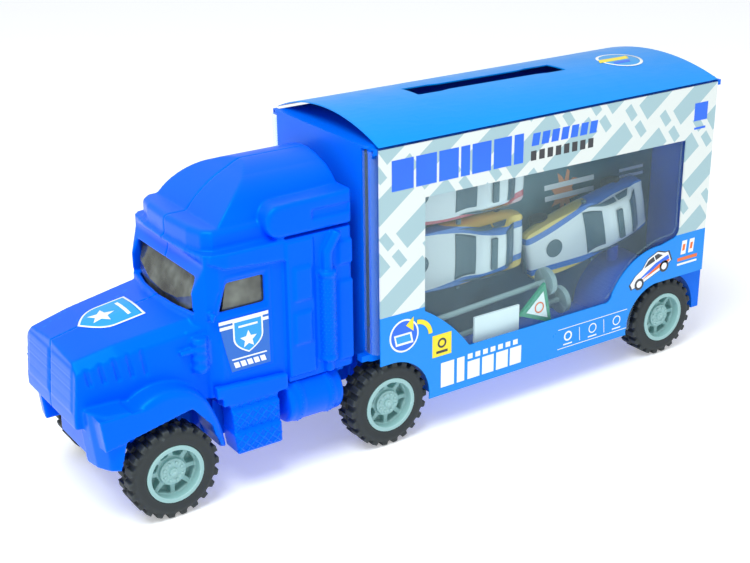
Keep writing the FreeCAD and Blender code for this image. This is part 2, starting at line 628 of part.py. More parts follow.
def car_body():
    """Low coupe shell, open below: narrowed roof, wheel openings and axle slots."""
    h = CAR_LENGTH / 2
    path = [(-h, 4.0), (-h, 9.5), ((-h + 1.4, 12.4), (-h + 5.0, 13.4)), (-29.0, 14.0),
            ((-22.0, 18.6), (-14.0, 19.4)),
            ((-6.0, 18.6), (2.0, 13.8)), ((22.0, 12.4), (h, 8.0)), (h, 4.0)]
    low = side_prism(path, -CAR_WIDTH / 2, CAR_WIDTH / 2)
    plan = [(-h, -12.0), (-h, 12.0), ((-h + 2, 14.6), (-28.0, 15.0)), (26.0, 15.0),
            ((h - 2.0, 13.4), (h, 9.0)), (h, -9.0),
            ((h - 2.0, -13.4), (26.0, -15.0)), (-28.0, -15.0), ((-h + 2, -14.6), (-h, -12.0))]
    body = low.common(plan_prism(plan, 0.0, 30.0))
    taper = end_prism([(-15.0, 0.0), (-15.0, 11.0), (-10.5, 21.0), (10.5, 21.0), (15.0, 11.0),
                       (15.0, 0.0)], -60, 60)
    body = body.common(taper)
    for x in (-22.0, 23.0):
        wells = cyl_y(x, 4.6, 5.3, 10.8, 20).fuse(cyl_y(x, 4.6, 5.3, -20, -10.8))
        body = body.cut(wells.fuse(cyl_y(x, 4.6, 0.9, -16, 16)).fuse(box(x - 0.9, x + 0.9, -16, 16, 0, 4.6)))
    hollow = side_prism([(-33.0, 3.0), (-33.0, 10.0), (-29.0, 11.6), (-21.0, 16.4), (-9.0, 16.8),
                         (0.0, 12.2), (22.0, 10.6),
                         (33.0, 7.0), (33.0, 3.0)], -13.0, 13.0)
    room = end_prism([(-13.0, 0.0), (-13.0, 10.0), (-8.6, 18.0), (8.6, 18.0), (13.0, 10.0), (13.0, 0.0)],
                     -60, 60)
    return body.cut(hollow.common(room))


def car_wheels():
    """Two small wheel sets, each an axle with its two wheels."""
    sets = []
    for x in (-22.0, 23.0):
        sets.append(union([cyl_y(x, 4.6, 0.7, -14.0, 14.0), cyl_y(x, 4.6, 4.6, 11.2, 14.4),
                           cyl_y(x, 4.6, 4.6, -14.4, -11.2)]))
    return Part.makeCompound(sets)


def seated(shape, x, z, tilt):
    """Stands the car on its edge with the roof towards the left window."""
    car = shape.copy()
    car.rotate(V(0, 0, 0), V(1, 0, 0), -90)
    car.rotate(V(0, 0, 0), V(0, 1, 0), tilt)
    car.translate(V(x, CAR_BASE_Y, z))
    return car


def sign_posts():
    """Two plastic posts with round feet, lying in the bottom of the box."""
    posts = []
    for y, z, length, slant in ((25.6, 33.5, 74.0, 3.2), (29.0, 47.0, 62.0, 3.2)):
        post = cyl_x(0, 0, 1.3, 0.0, length).fuse(cyl_x(0, 0, 6.4, length - 1.0, length + 1.6))
        post.rotate(V(0, 0, 0), V(0, 1, 0), 180 + slant)
        post.translate(V(-4.0, y, z))
        posts.append(post)
    return Part.makeCompound(posts)


def road_sign():
    """Triangular sign leaning against the inside of the window."""
    return side_prism([(-46.0, 40.6), (-65.0, 32.8), (-60.4, 53.0)], 34.6 - 0.8, 35.4)


def spare_plate():
    return box(-46.0, -21.0, 34.0, 35.0, 34.0, 46.0)


def make_contents():
    body, wheels = car_body(), car_wheels()
    for i, (x, z, tilt) in enumerate(CAR_SEATS, 1):
        left, left_wheels = seated(body, x, z, tilt), seated(wheels, x, z, tilt)
        save("car_left_%d_body" % i, left)
        save("car_left_%d_wheels" % i, left_wheels)
        save("car_right_%d_body" % i, other_side(left))
        save("car_right_%d_wheels" % i, other_side(left_wheels))
    save("sign_posts", sign_posts())
    save("road_sign", road_sign())
    save("number_plate_blank", spare_plate())
    save("insert_card", divider())


# ---------------------------------------------------------------- stickers

def bonnet_sticker():
    """Shield-shaped label lying on the bonnet."""
    shield = plan_prism([(119.0, 0.0), ((120.5, 8.0), (126.0, 10.0)), ((138.0, 11.0), (147.0, 0.0)),
                         ((138.0, -11.0), (126.0, -10.0)), ((120.5, -8.0), (119.0, 0.0))], 60.0, 90.0)
    skin = bonnet()
    lifted = skin.copy()
    lifted.translate(V(0, 0, 0.25))
    shell = lifted.cut(skin).common(shield)
    raise_gap = V(0, 0, 0.03)
    shell.translate(raise_gap)
    return shell


def door_sticker():
    return side_prism([(78.4, 51.2), (96.0, 51.2), ((98.0, 60.0), (101.0, 73.6)), (78.4, 73.6)],
                      CAB_HALF + 0.02, CAB_HALF + 0.14)


# ---------------------------------------------------------------- everything

def make_truck():
    make_wheels()
    save("cargo_box", cargo_box())
    save("door_left", clear_door())
    save("door_right", other_side(clear_door()))
    save("card_side_left", card_side())
    save("card_side_right", other_side(card_side()))
    save("card_roof", card_roof())
    save("carry_handle", carry_handle())
    left, right = halves(cab_shell())
    save("cab_shell_left", left)
    save("cab_shell_right", right)
    save("chassis_front", chassis_front())
    save("chassis_rear", chassis_rear())
    save("windscreen", screen_glass())
    save("side_window_left", side_glass())
    save("side_window_right", other_side(side_glass()))
    save("cab_screws", Part.makeCompound([screw(x, y, 49.0) for x, y in CAB_SCREWS]))
    save("box_screws", Part.makeCompound([screw(x, y, 47.0) for x, y in BOX_SCREWS]))
    save("bonnet_sticker", bonnet_sticker())
    save("door_sticker_left", door_sticker())
    save("door_sticker_right", other_side(door_sticker()))
    make_contents()


make_truck()
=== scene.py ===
import math

import bmesh
import bpy
from mathutils import Matrix, Vector
from mathutils.bvhtree import BVHTree


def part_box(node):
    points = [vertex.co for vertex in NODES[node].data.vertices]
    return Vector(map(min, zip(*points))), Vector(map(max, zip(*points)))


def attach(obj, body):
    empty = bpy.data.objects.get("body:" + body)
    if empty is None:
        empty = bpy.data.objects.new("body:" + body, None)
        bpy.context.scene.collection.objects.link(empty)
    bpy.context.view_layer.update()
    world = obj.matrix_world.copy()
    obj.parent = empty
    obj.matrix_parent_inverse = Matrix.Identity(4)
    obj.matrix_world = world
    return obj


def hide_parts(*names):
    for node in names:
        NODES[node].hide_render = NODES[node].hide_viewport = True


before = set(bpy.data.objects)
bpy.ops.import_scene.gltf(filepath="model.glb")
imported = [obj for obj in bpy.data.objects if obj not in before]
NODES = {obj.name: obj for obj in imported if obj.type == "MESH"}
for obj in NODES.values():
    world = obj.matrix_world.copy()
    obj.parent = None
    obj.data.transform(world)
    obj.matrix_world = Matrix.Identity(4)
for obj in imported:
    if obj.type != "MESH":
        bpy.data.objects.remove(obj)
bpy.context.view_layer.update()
MM = 0.001
SIDES = {"left": 1.0, "right": -1.0}

# ---------------------------------------------------------------- reference places, millimetres


def limits(node):
    low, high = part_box(node)
    return low / MM, high / MM


CARD_FACE = limits("card_side_left")[1].y
AXLE_X = {a: sum(c.x for c in limits(a + "_axle")) / 2 for a in ("front", "middle", "rear")}
AXLE_Z = sum(c.z for c in limits("front_axle")) / 2
HUB_FACE = limits("front_hub_left")[1].y
BAND_Z = 60.0

# ---------------------------------------------------------------- mesh helpers


def add_object(name, mesh):
    obj = bpy.data.objects.new(name, mesh)
    bpy.context.scene.collection.objects.link(obj)
    return obj


def finish_piece(obj, material, body, smooth=True):
    obj.data.materials.clear()
    obj.data.materials.append(material)
    for poly in obj.data.polygons:
        poly.use_smooth = smooth
    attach(obj, body)
    return obj


def apply_modifiers(obj):
    graph = bpy.context.evaluated_depsgraph_get()
    mesh = bpy.data.meshes.new_from_object(obj.evaluated_get(graph))
    obj.modifiers.clear()
    obj.data = mesh
    return obj


def sharp_copy(name, source, angle=30.0):
    """A copy of a CAD mesh, welded, with its hard edges kept."""
    obj = add_object(name, NODES[source].data.copy())
    weld(obj.data)
    obj.data.set_sharp_from_angle(angle=math.radians(angle))
    return obj


def weld(mesh):
    bm = bmesh.new()
    bm.from_mesh(mesh)
    bmesh.ops.remove_doubles(bm, verts=bm.verts, dist=1e-6)
    bm.to_mesh(mesh)
    bm.free()


def soften(obj, voxel, passes):
    """Turns a crisp solid into a moulded one: even voxel skin, then smoothing that rounds every edge."""
    weld(obj.data)
    remesh = obj.modifiers.new("skin", "REMESH")
    remesh.mode = "VOXEL"
    remesh.voxel_size = voxel * MM
    remesh.use_smooth_shade = True
    smooth = obj.modifiers.new("soften", "SMOOTH")
    smooth.factor = 0.5
    smooth.iterations = passes
    return apply_modifiers(obj)


def from_bmesh(name, bm):
    bmesh.ops.recalc_face_normals(bm, faces=bm.faces)
    mesh = bpy.data.meshes.new(name)
    bm.to_mesh(mesh)
    bm.free()
    mesh.transform(Matrix.Scale(MM, 4))
    return add_object(name, mesh)


def add_box(bm, low, high, turn=None):
    """Box between two corners; turn is an optional matrix applied about its centre."""
    low, high = Vector(low), Vector(high)
    made = bmesh.ops.create_cube(bm, size=1.0)["verts"]
    size = Matrix.Diagonal((high - low).to_4d())
    size[3][3] = 1.0
    place = Matrix.Translation((low + high) / 2) @ (turn or Matrix.Identity(4)) @ size
    bmesh.ops.transform(bm, matrix=place, verts=made)
    return made


def add_rod(bm, start, end, radius, segments=20, taper=1.0):
    start, end = Vector(start), Vector(end)
    along = end - start
    turn = along.to_track_quat("Z", "Y").to_matrix().to_4x4()
    place = Matrix.Translation((start + end) / 2) @ turn
    made = bmesh.ops.create_cone(bm, cap_ends=True, segments=segments, radius1=radius, radius2=radius * taper,
                                 depth=along.length, matrix=place)
    return made["verts"]


def bevelled(obj, width, segments=2):
    bevel = obj.modifiers.new("edge", "BEVEL")
    bevel.width = width * MM
    bevel.segments = segments
    bevel.limit_method = "ANGLE"
    return apply_modifiers(obj)


def plate(name, loops, depth, place, divide=0):
    """Thin sheet from closed 2-D loops, an inner loop being a hole; place maps it into the truck's frame."""
    curve = bpy.data.curves.new(name, "CURVE")
    curve.dimensions = "2D"
    curve.fill_mode = "BOTH"
    curve.extrude = depth / 2
    for loop in loops:
        spline = curve.splines.new("POLY")
        spline.points.add(len(loop) - 1)
        for point, (x, y) in zip(spline.points, loop):
            point.co = (x, y, 0.0, 1.0)
        spline.use_cyclic_u = True
    holder = add_object(name + "_outline", curve)
    mesh = bpy.data.meshes.new_from_object(holder)
    bpy.data.objects.remove(holder)
    bm = bmesh.new()
    bm.from_mesh(mesh)
    bmesh.ops.remove_doubles(bm, verts=bm.verts, dist=1e-5)
    if divide:
        bmesh.ops.triangulate(bm, faces=bm.faces)
        for _ in range(divide):
            long_edges = [e for e in bm.edges if e.calc_length() > 0.9]
            bmesh.ops.subdivide_edges(bm, edges=long_edges, cuts=1)
            bmesh.ops.triangulate(bm, faces=bm.faces)
    bmesh.ops.transform(bm, matrix=place, verts=bm.verts)
    return from_bmesh(name, bm)


def side_place(side, y):
    """Maps drawing (x, z) onto an upright plane at |y| on one side."""
    sign = SIDES[side]
    return Matrix(((1, 0, 0, 0), (0, 0, -1, sign * y), (0, 1, 0, 0), (0, 0, 0, 1)))


def top_place(z):
    return Matrix.Translation((0, 0, z))


def arc(cx, cy, r, a0, a1, count=16):
    return [(cx + r * math.cos(math.radians(a0 + (a1 - a0) * i / count)),
             cy + r * math.sin(math.radians(a0 + (a1 - a0) * i / count))) for i in range(count + 1)]


def ring(cx, cy, r, count=32):
    return arc(cx, cy, r, 0, 360, count)[:-1]


def slanted(x0, x1, z0, z1, lean):
    return [(x0, z0), (x1, z0), (x1 + lean, z1), (x0 + lean, z1)]


# ---------------------------------------------------------------- materials


def linear(red, green, blue):
    """0-255 display colour as a linear RGBA tuple."""
    channels = (((c / 255 + 0.055) / 1.055) ** 2.4 if c > 10 else c / 255 / 12.92 for c in (red, green, blue))
    return tuple(channels) + (1.0,)


class Shade:
    """Small wrapper that builds one node material."""

    def __init__(self, name, rough=0.4, **inputs):
        self.mat = bpy.data.materials.new(name)
        self.mat.use_nodes = True
        self.tree = self.mat.node_tree
        self.bsdf = self.tree.nodes["Principled BSDF"]
        self.set("Roughness", rough)
        for key, value in inputs.items():
            self.set(key.replace("_", " "), value)

    def set(self, key, value):
        self.bsdf.inputs[key].default_value = value

    def node(self, kind, **settings):
        made = self.tree.nodes.new("ShaderNode" + kind)
        for key, value in settings.items():
            setattr(made, key, value)
        return made

    def link(self, source, target):
        self.tree.links.new(source, target)

    def place(self):
        return self.node("TexCoord").outputs["Object"]

    def noise(self, scale, detail=3.0, rough=0.5, vector=None):
        made = self.node("TexNoise")
        made.inputs["Scale"].default_value = scale
        made.inputs["Detail"].default_value = detail
        made.inputs["Roughness"].default_value = rough
        self.link(vector or self.place(), made.inputs["Vector"])
        return made.outputs["Fac"]

    def ramp(self, value, stops):
        made = self.node("ValToRGB")
        ramp = made.color_ramp
        while len(ramp.elements) < len(stops):
            ramp.elements.new(0.5)
        for element, (position, color) in zip(ramp.elements, stops):
            element.position = position
            element.color = color
        self.link(value, made.inputs["Fac"])
        return made.outputs["Color"]

    def math(self, operation, a, b=0.0, c=0.0):
        made = self.node("Math", operation=operation)
        for slot, value in zip(made.inputs, (a, b, c)):
            if isinstance(value, (int, float)):
                slot.default_value = value
            else:
                self.link(value, slot)
        return made.outputs["Value"]

    def mix(self, factor, a, b):
        made = self.node("Mix", data_type="RGBA")
        slots = [s for s in made.inputs if s.enabled]
        for slot, value in zip(slots, (factor, a, b)):
            if isinstance(value, (int, float, tuple)):
                slot.default_value = value
            else:
                self.link(value, slot)
        return [s for s in made.outputs if s.enabled][0]

    def color(self, value):
        if isinstance(value, tuple):
            self.set("Base Color", value)
        else:
            self.link(value, self.bsdf.inputs["Base Color"])

    def roughness(self, fac, low, high):
        self.link(self.math("MULTIPLY_ADD", fac, high - low, low), self.bsdf.inputs["Roughness"])

    def bump(self, height, strength, distance=0.0002):
        made = self.node("Bump")
        made.inputs["Strength"].default_value = strength
        made.inputs["Distance"].default_value = distance
        self.link(height, made.inputs["Height"])
        self.link(made.outputs["Normal"], self.bsdf.inputs["Normal"])

    def worn(self, base, paler, amount=0.5):
        """Colour that pales where the surface is sharply convex."""
        edge = self.node("NewGeometry").outputs["Pointiness"]
        rubbed = self.ramp(edge, [(0.50, (0, 0, 0, 1)), (0.60, (amount, amount, amount, 1))])
        return self.mix(rubbed, base, paler)


def moulded(name, color, paler, rough=(0.26, 0.40), grain=0.10, sheen=(1.0, 1.0, 1.0, 1.0)):
    s = Shade(name, Specular_Tint=sheen, Specular_IOR_Level=0.38)
    cloud = s.noise(18.0, 2.0)
    shade = s.mix(s.math("MULTIPLY", cloud, 0.35), color, paler)
    s.color(s.worn(shade, paler, 0.45))
    s.roughness(s.noise(60.0, 4.0), *rough)
    s.bump(s.math("ADD", s.noise(2600.0, 2.0), s.math("MULTIPLY", s.noise(90.0, 2.0), 2.0)), grain)
    return s.mat


BLUE_SHEEN = (0.0, 0.6, 1.0, 1.0)
BODY_BLUE = moulded("body_blue_plastic", linear(0, 86, 246), linear(0, 122, 255), sheen=BLUE_SHEEN)
BOX_BLUE = moulded("box_blue_plastic", linear(0, 94, 226), linear(0, 120, 244), (0.30, 0.46),
                   sheen=BLUE_SHEEN)
# Handle: blue plastic darkened with painted shade, standing for the shade under the card sleeve's arch over
# it.
SHADED_HANDLE_BLUE = moulded("handle_blue_plastic", linear(0, 60, 170), linear(10, 90, 215), (0.3, 0.45),
                     sheen=BLUE_SHEEN)
HUB_GREY = moulded("hub_grey_plastic", linear(142, 184, 183), linear(176, 210, 208), (0.36, 0.5), 0.08)
POST_GREY = moulded("post_grey_plastic", linear(128, 150, 152), linear(180, 196, 198), (0.35, 0.5))


def tyre_material():
    s = Shade("tyre_rubber", 0.62)
    dust = s.noise(240.0, 5.0, 0.6)
    rubber = s.mix(s.math("MULTIPLY", dust, 0.5), linear(22, 29, 31), linear(46, 54, 56))
    s.color(s.worn(rubber, linear(78, 86, 87), 0.5))
    s.roughness(dust, 0.5, 0.78)
    s.bump(s.noise(1900.0, 3.0), 0.35)
    return s.mat


def steel_material(name="drawn_steel"):
    s = Shade(name, 0.3, Metallic=1.0)
    lines = s.noise(700.0, 2.0)
    s.color(s.mix(lines, linear(150, 152, 155), linear(205, 207, 210)))
    s.roughness(lines, 0.22, 0.42)
    s.bump(lines, 0.1)
    return s.mat


def smoked_material():
    s = Shade("smoked_window_plastic", 0.08, Coat_Weight=0.6)
    murk = s.noise(55.0, 3.0, 0.6)
    s.color(s.ramp(murk, [(0.36, linear(30, 32, 26)), (0.52, linear(72, 76, 66)),
                          (0.68, linear(112, 118, 106))]))
    s.roughness(murk, 0.05, 0.16)
    s.bump(s.noise(75.0, 2.0), 0.5, 0.0016)
    return s.mat


def clear_material():
    s = Shade("clear_window_plastic", 0.12)
    veil = s.noise(9.0, 3.0)
    s.color(linear(206, 228, 230))
    s.roughness(veil, 0.05, 0.18)
    s.bump(s.noise(30.0, 2.0), 0.25, 0.0008)
    clear = s.node("BsdfTransparent")
    clear.inputs["Color"].default_value = (0.95, 0.995, 1.0, 1.0)
    blend = s.node("MixShader")
    s.link(s.math("MULTIPLY_ADD", veil, 0.10, 0.02), blend.inputs[0])
    s.link(clear.outputs["BSDF"], blend.inputs[1])
    s.link(s.bsdf.outputs["BSDF"], blend.inputs[2])
    s.link(blend.outputs["Shader"], s.tree.nodes["Material Output"].inputs["Surface"])
    return s.mat


def fibre(s, strength=0.12):
    """Faint paper grain under the varnish."""
    s.bump(s.noise(1500.0, 4.0, 0.7), strength)
    s.roughness(s.noise(120.0, 3.0), 0.24, 0.40)


def print_material(name, color, paler=None):
    s = Shade(name, 0.35, Coat_Weight=0.15)
    tint = s.math("MULTIPLY", s.noise(45.0, 3.0), 0.4)
    s.color(s.mix(tint, color, paler or tuple(min(1.0, c * 1.25) for c in color[:3]) + (1.0,)))
    fibre(s)
    return s.mat


def card_side_material():
    """Off-white varnished card with broad pale diagonal bars above a cyan-blue lower band."""
    s = Shade("printed_card_side", 0.32, Specular_IOR_Level=0.35)
    split = s.node("SeparateXYZ")
    s.link(s.place(), split.inputs["Vector"])
    x = s.math("DIVIDE", split.outputs["X"], MM)
    z = s.math("DIVIDE", split.outputs["Z"], MM)
    across = s.math("ADD", s.math("MULTIPLY", x, 0.75), z)
    along = s.math("SUBTRACT", s.math("MULTIPLY", z, 0.75), x)
    stripe = s.math("PINGPONG", s.math("ADD", across, 300.0), 11.0)
    cell = s.math("FLOOR", s.math("DIVIDE", s.math("ADD", across, 300.0), 22.0))
    shifted = s.math("ADD", along, s.math("MULTIPLY", cell, 17.0))
    breaks = s.math("PINGPONG", s.math("ADD", shifted, 900.0), 26.0)
    bar = s.math("MULTIPLY", s.math("GREATER_THAN", stripe, 5.2), s.math("GREATER_THAN", breaks, 6.5))
    cross = s.math("MULTIPLY", s.math("LESS_THAN", breaks, 2.6), s.math("LESS_THAN", stripe, 9.0))
    ink = s.math("MAXIMUM", bar, cross)
    upper = s.mix(ink, linear(226, 232, 228), linear(166, 196, 202))
    band = s.math("LESS_THAN", z, BAND_Z)
    s.color(s.mix(band, upper, linear(0, 140, 236)))
    fibre(s)
    return s.mat


def card_roof_material():
    s = Shade("printed_card_roof", 0.28, Specular_Tint=BLUE_SHEEN)
    s.color(s.mix(s.math("MULTIPLY", s.noise(14.0, 2.0), 0.5), linear(0, 138, 230), linear(0, 158, 244)))
    fibre(s, 0.08)
    return s.mat


def insert_material():
    """Grey-teal printed card with soft pale streaks."""
    s = Shade("insert_card_print", 0.5)
    soft = s.noise(22.0, 4.0)
    s.color(s.ramp(soft, [(0.35, linear(34, 74, 90)), (0.52, linear(76, 118, 130)),
                          (0.72, linear(128, 160, 164))]))
    fibre(s)
    return s.mat


def car_paint(name, stripe_a, stripe_b, phase):
    """White enamel with two curved coloured flashes; car-local coordinates come from the mesh attribute."""
    s = Shade(name, 0.22, Coat_Weight=0.6)
    local = s.node("Attribute", attribute_name="car")
    split = s.node("SeparateXYZ")
    s.link(local.outputs["Vector"], split.inputs["Vector"])
    x, y = split.outputs["X"], split.outputs["Y"]
    wide = s.math("ABSOLUTE", y)
    bend = s.math("MULTIPLY", s.math("SINE", s.math("MULTIPLY_ADD", x, 0.055, phase)), 3.2)
    flow = s.math("SUBTRACT", wide, bend)
    flash_a = s.math("MULTIPLY", s.math("GREATER_THAN", flow, 9.6), s.math("LESS_THAN", flow, 12.6))
    flash_b = s.math("GREATER_THAN", flow, 12.6)
    base = s.mix(flash_a, linear(240, 246, 246), stripe_a)
    s.color(s.mix(flash_b, base, stripe_b))
    s.roughness(s.noise(200.0), 0.16, 0.3)
    s.bump(s.noise(900.0), 0.05)
    return s.mat


TYRE = tyre_material()
STEEL = steel_material()
SMOKED = smoked_material()
CLEAR = clear_material()
CARD_SIDE = card_side_material()
CARD_ROOF = card_roof_material()
INSERT = insert_material()
INK_WHITE = print_material("ink_white", linear(240, 244, 244))
INK_BLUE = print_material("ink_royal_blue", linear(0, 92, 232), linear(20, 140, 250))
INK_DARK = print_material("ink_dark", linear(44, 46, 52))
INK_CYAN = print_material("ink_cyan", linear(0, 150, 226), linear(40, 176, 236))
INK_NAVY = print_material("ink_label_blue", linear(0, 98, 196), linear(0, 116, 214))
INK_YELLOW = print_material("ink_yellow", linear(248, 220, 20))
INK_ORANGE = print_material("ink_orange", linear(236, 96, 20), linear(250, 150, 40))
INK_PEACH = print_material("ink_peach", linear(226, 140, 88), linear(240, 186, 140))
INK_GREEN = print_material("ink_green", linear(40, 146, 112))
INK_TEAL = print_material("ink_dark_teal", linear(70, 100, 112))
CAR_GLASS = print_material("car_window_dark", linear(66, 98, 112))

# ---------------------------------------------------------------- wheels


def placed_copy(name, source, shift_x, side):
    mesh = source.data.copy()
    mesh.transform(Matrix.Translation((shift_x * MM, 0, 0)))
    if side == "right":
        mesh.transform(Matrix.Diagonal((1, -1, 1, 1)))
        mesh.flip_normals()
    return add_object(name, mesh)


def hub_details():
    """Ring of rivets, boss and axle cap on the hub's centre disc, drawn on the front left wheel."""
    bm = bmesh.new()
    x, z, face = AXLE_X["front"], AXLE_Z, HUB_FACE - 2.9
    for i in range(8):
        a = math.radians(i * 45 + 22.5)
        add_rod(bm, (x + 3.9 * math.cos(a), face, z + 3.9 * math.sin(a)),
                (x + 3.9 * math.cos(a), face + 0.75, z + 3.9 * math.sin(a)), 0.8, 14, 0.7)
    add_rod(bm, (x, face, z), (x, face + 1.0, z), 1.9, 24, 0.85)
    add_rod(bm, (x, face, z), (x, face + 1.5, z), 1.0, 20, 0.7)
    return bevelled(from_bmesh("hub_detail_master", bm), 0.12)


def build_wheels():
    tyre = soften(sharp_copy("tyre_master", "front_tyre_left"), 0.42, 3)
    hub = soften(sharp_copy("hub_master", "front_hub_left"), 0.3, 2)
    detail = hub_details()
    for axle, x in AXLE_X.items():
        shift = x - AXLE_X["front"]
        body = axle + "_wheels"
        for side in SIDES:
            for master, part, material in ((tyre, "tyre", TYRE), (hub, "hub", HUB_GREY)):
                piece = placed_copy(f"{axle}_{part}_{side}_skin", master, shift, side)
                finish_piece(piece, material, body)
                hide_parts(f"{axle}_{part}_{side}")
            finish_piece(placed_copy(f"{axle}_hub_studs_{side}", detail, shift, side), HUB_GREY, body)
        set_material(axle + "_axle", STEEL)
    for master in (tyre, hub, detail):
        bpy.data.objects.remove(master)


def set_material(node, material):
    obj = NODES[node]
    obj.data.materials.clear()
    obj.data.materials.append(material)

# ---------------------------------------------------------------- cab and chassis


def build_cab():
    skins = []
    for side in SIDES:
        skin = soften(sharp_copy(f"cab_{side}_skin", f"cab_shell_{side}"), 0.5, 8)
        finish_piece(skin, BODY_BLUE, "truck")
        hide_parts(f"cab_shell_{side}")
        skins.append(skin)
    chassis = soften(sharp_copy("chassis_skin", "chassis_front"), 0.6, 3)
    finish_piece(chassis, BODY_BLUE, "truck")
    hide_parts("chassis_front")
    for side in SIDES:
        build_steps(side)
        build_tank_rivets(side)
        build_muffler_pips(side)
    for node in ("windscreen", "side_window_left", "side_window_right"):
        set_material(node, SMOKED)
    for node in ("cab_screws", "box_screws"):
        set_material(node, STEEL)
    set_material("chassis_rear", BODY_BLUE)
    return skins


STEP_X = (77.8, 98.2)
STEP_TREADS = ((36.6, 40.4, 34.2), (27.2, 35.6, 35.6), (18.6, 26.0, 37.0))


def build_steps(side):
    """Diamond tread: crossing raised ribs on the face of each step."""
    bm = bmesh.new()
    sign = SIDES[side]
    for z0, z1, y in STEP_TREADS:
        pitch, height = 4.0, z1 - z0
        start = STEP_X[0] - height
        while start < STEP_X[1]:
            for lean in (1, -1):
                a, b = (start, z0), (start + height, z1)
                if lean < 0:
                    a, b = (start, z1), (start + height, z0)
                a, b = clip_x(a, b, *STEP_X)
                if a:
                    add_rod(bm, (a[0], sign * (y - 0.05), a[1]), (b[0], sign * (y - 0.05), b[1]), 0.38, 8)
            start += pitch
    piece = from_bmesh(f"step_tread_{side}", bm)
    finish_piece(piece, BODY_BLUE, "truck")


def clip_x(a, b, low, high):
    """The part of segment a-b between two x limits, or (None, None)."""
    span = b[0] - a[0]
    t0 = max(0.0, (low - a[0]) / span)
    t1 = min(1.0, (high - a[0]) / span)
    if t1 - t0 < 0.08:
        return None, None
    rise = b[1] - a[1]
    return (a[0] + span * t0, a[1] + rise * t0), (a[0] + span * t1, a[1] + rise * t1)


def build_tank_rivets(side):
    bm = bmesh.new()
    y0, z0, r = 27.4, 31.0, 10.2
    for x in (53.3, 67.7):
        for i in range(9):
            a = math.radians(-60 + i * 17)
            spot = Vector((x, SIDES[side] * (y0 + r * math.cos(a)), z0 + r * math.sin(a)))
            out = Vector((0, SIDES[side] * math.cos(a), math.sin(a)))
            add_rod(bm, spot - out * 0.4, spot + out * 0.28, 0.4, 10, 0.7)
    finish_piece(from_bmesh(f"tank_rivets_{side}", bm), BODY_BLUE, "truck")


def build_muffler_pips(side):
    """Rows of small raised pips that read as the muffler's perforated guard."""
    bm = bmesh.new()
    x0, y0, r = 52.8, 34.2, 3.4
    for row in range(22):
        for i in range(6):
            a = math.radians(-42 + i * 30 + (row % 2) * 15)
            spot = Vector((x0 + r * math.sin(a), SIDES[side] * (y0 + r * math.cos(a)), 50.0 + row * 1.5))
            out = Vector((math.sin(a), SIDES[side] * math.cos(a), 0))
            add_rod(bm, spot - out * 0.3, spot + out * 0.16, 0.42, 8, 0.6)
    finish_piece(from_bmesh(f"muffler_pips_{side}", bm), BODY_BLUE, "truck")


def shield(cx, cy, width, height):
    """Plain heater shield: flat top, upright sides and a rounded foot."""
    steps = [i / 8 for i in range(1, 9)]
    foot = [(0.5 * (1 - t ** 2.2), -0.5 * t) for t in steps]
    right = [(0.0, 0.5), (0.5, 0.5), (0.5, 0.0)] + foot
    both = right + [(-x, y) for x, y in reversed(right[1:-1])]
    return [(cx + x * width, cy + y * height) for x, y in both]


def star(cx, cy, r, points=5):
    out = []
    for i in range(points * 2):
        a = math.pi / 2 + i * math.pi / points
        k = r if i % 2 == 0 else r * 0.45
        out.append((cx + k * math.cos(a), cy + k * math.sin(a)))
    return out


def along_x(loop, cx, cy):
    """Turns a drawing so that its top points to the rear of the truck."""
    return [(cx - (y - cy), cy + (x - cx)) for x, y in loop]


def build_bonnet_sticker(skins):
    """Badge on the bonnet, in printed layers that follow its curve."""
    cx, cy = 132.5, 0.0
    layers = [("white", shield(cx, cy, 20.4, 24.0), INK_WHITE, 0.14),
              ("blue", shield(cx, cy, 18.4, 22.0), INK_CYAN, 0.24),
              ("star", star(cx, cy - 2.2, 5.6), INK_WHITE, 0.34)]
    layers.append(("bar", slanted(cx - 6.4, cx + 6.4, cy + 6.2, cy + 7.6, 0.0), INK_WHITE, 0.34))
    first = None
    for name, loop, ink, lift in layers:
        piece = plate(f"bonnet_badge_{name}", [along_x(loop, cx, cy)], 0.0, top_place(90.0), divide=6)
        drape_down(piece, skins, lift)
        thicken(piece, 0.05)
        finish_piece(piece, ink, "truck")
        first = first or piece
    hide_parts("bonnet_sticker")


SEAM_STEP = 0.9 * MM
ABOVE_ALL = 150.0 * MM


def drape_down(piece, targets, lift):
    """Drops a flat sheet on the targets; a point over the parting line takes its neighbour's height."""
    graph = bpy.context.evaluated_depsgraph_get()
    trees = [BVHTree.FromObject(t, graph) for t in targets]
    down = Vector((0, 0, -1))
    for v in piece.data.vertices:
        heights = []
        for step in (0.0, SEAM_STEP, -SEAM_STEP):
            start = Vector((v.co.x, v.co.y + step, ABOVE_ALL))
            hits = [tree.ray_cast(start, down)[0] for tree in trees]
            heights += [hit.z for hit in hits if hit is not None]
        v.co.z = max(heights) + lift * MM


def thicken(piece, amount):
    solid = piece.modifiers.new("sheet", "SOLIDIFY")
    solid.thickness = amount * MM
    solid.offset = 0.0
    return apply_modifiers(piece)


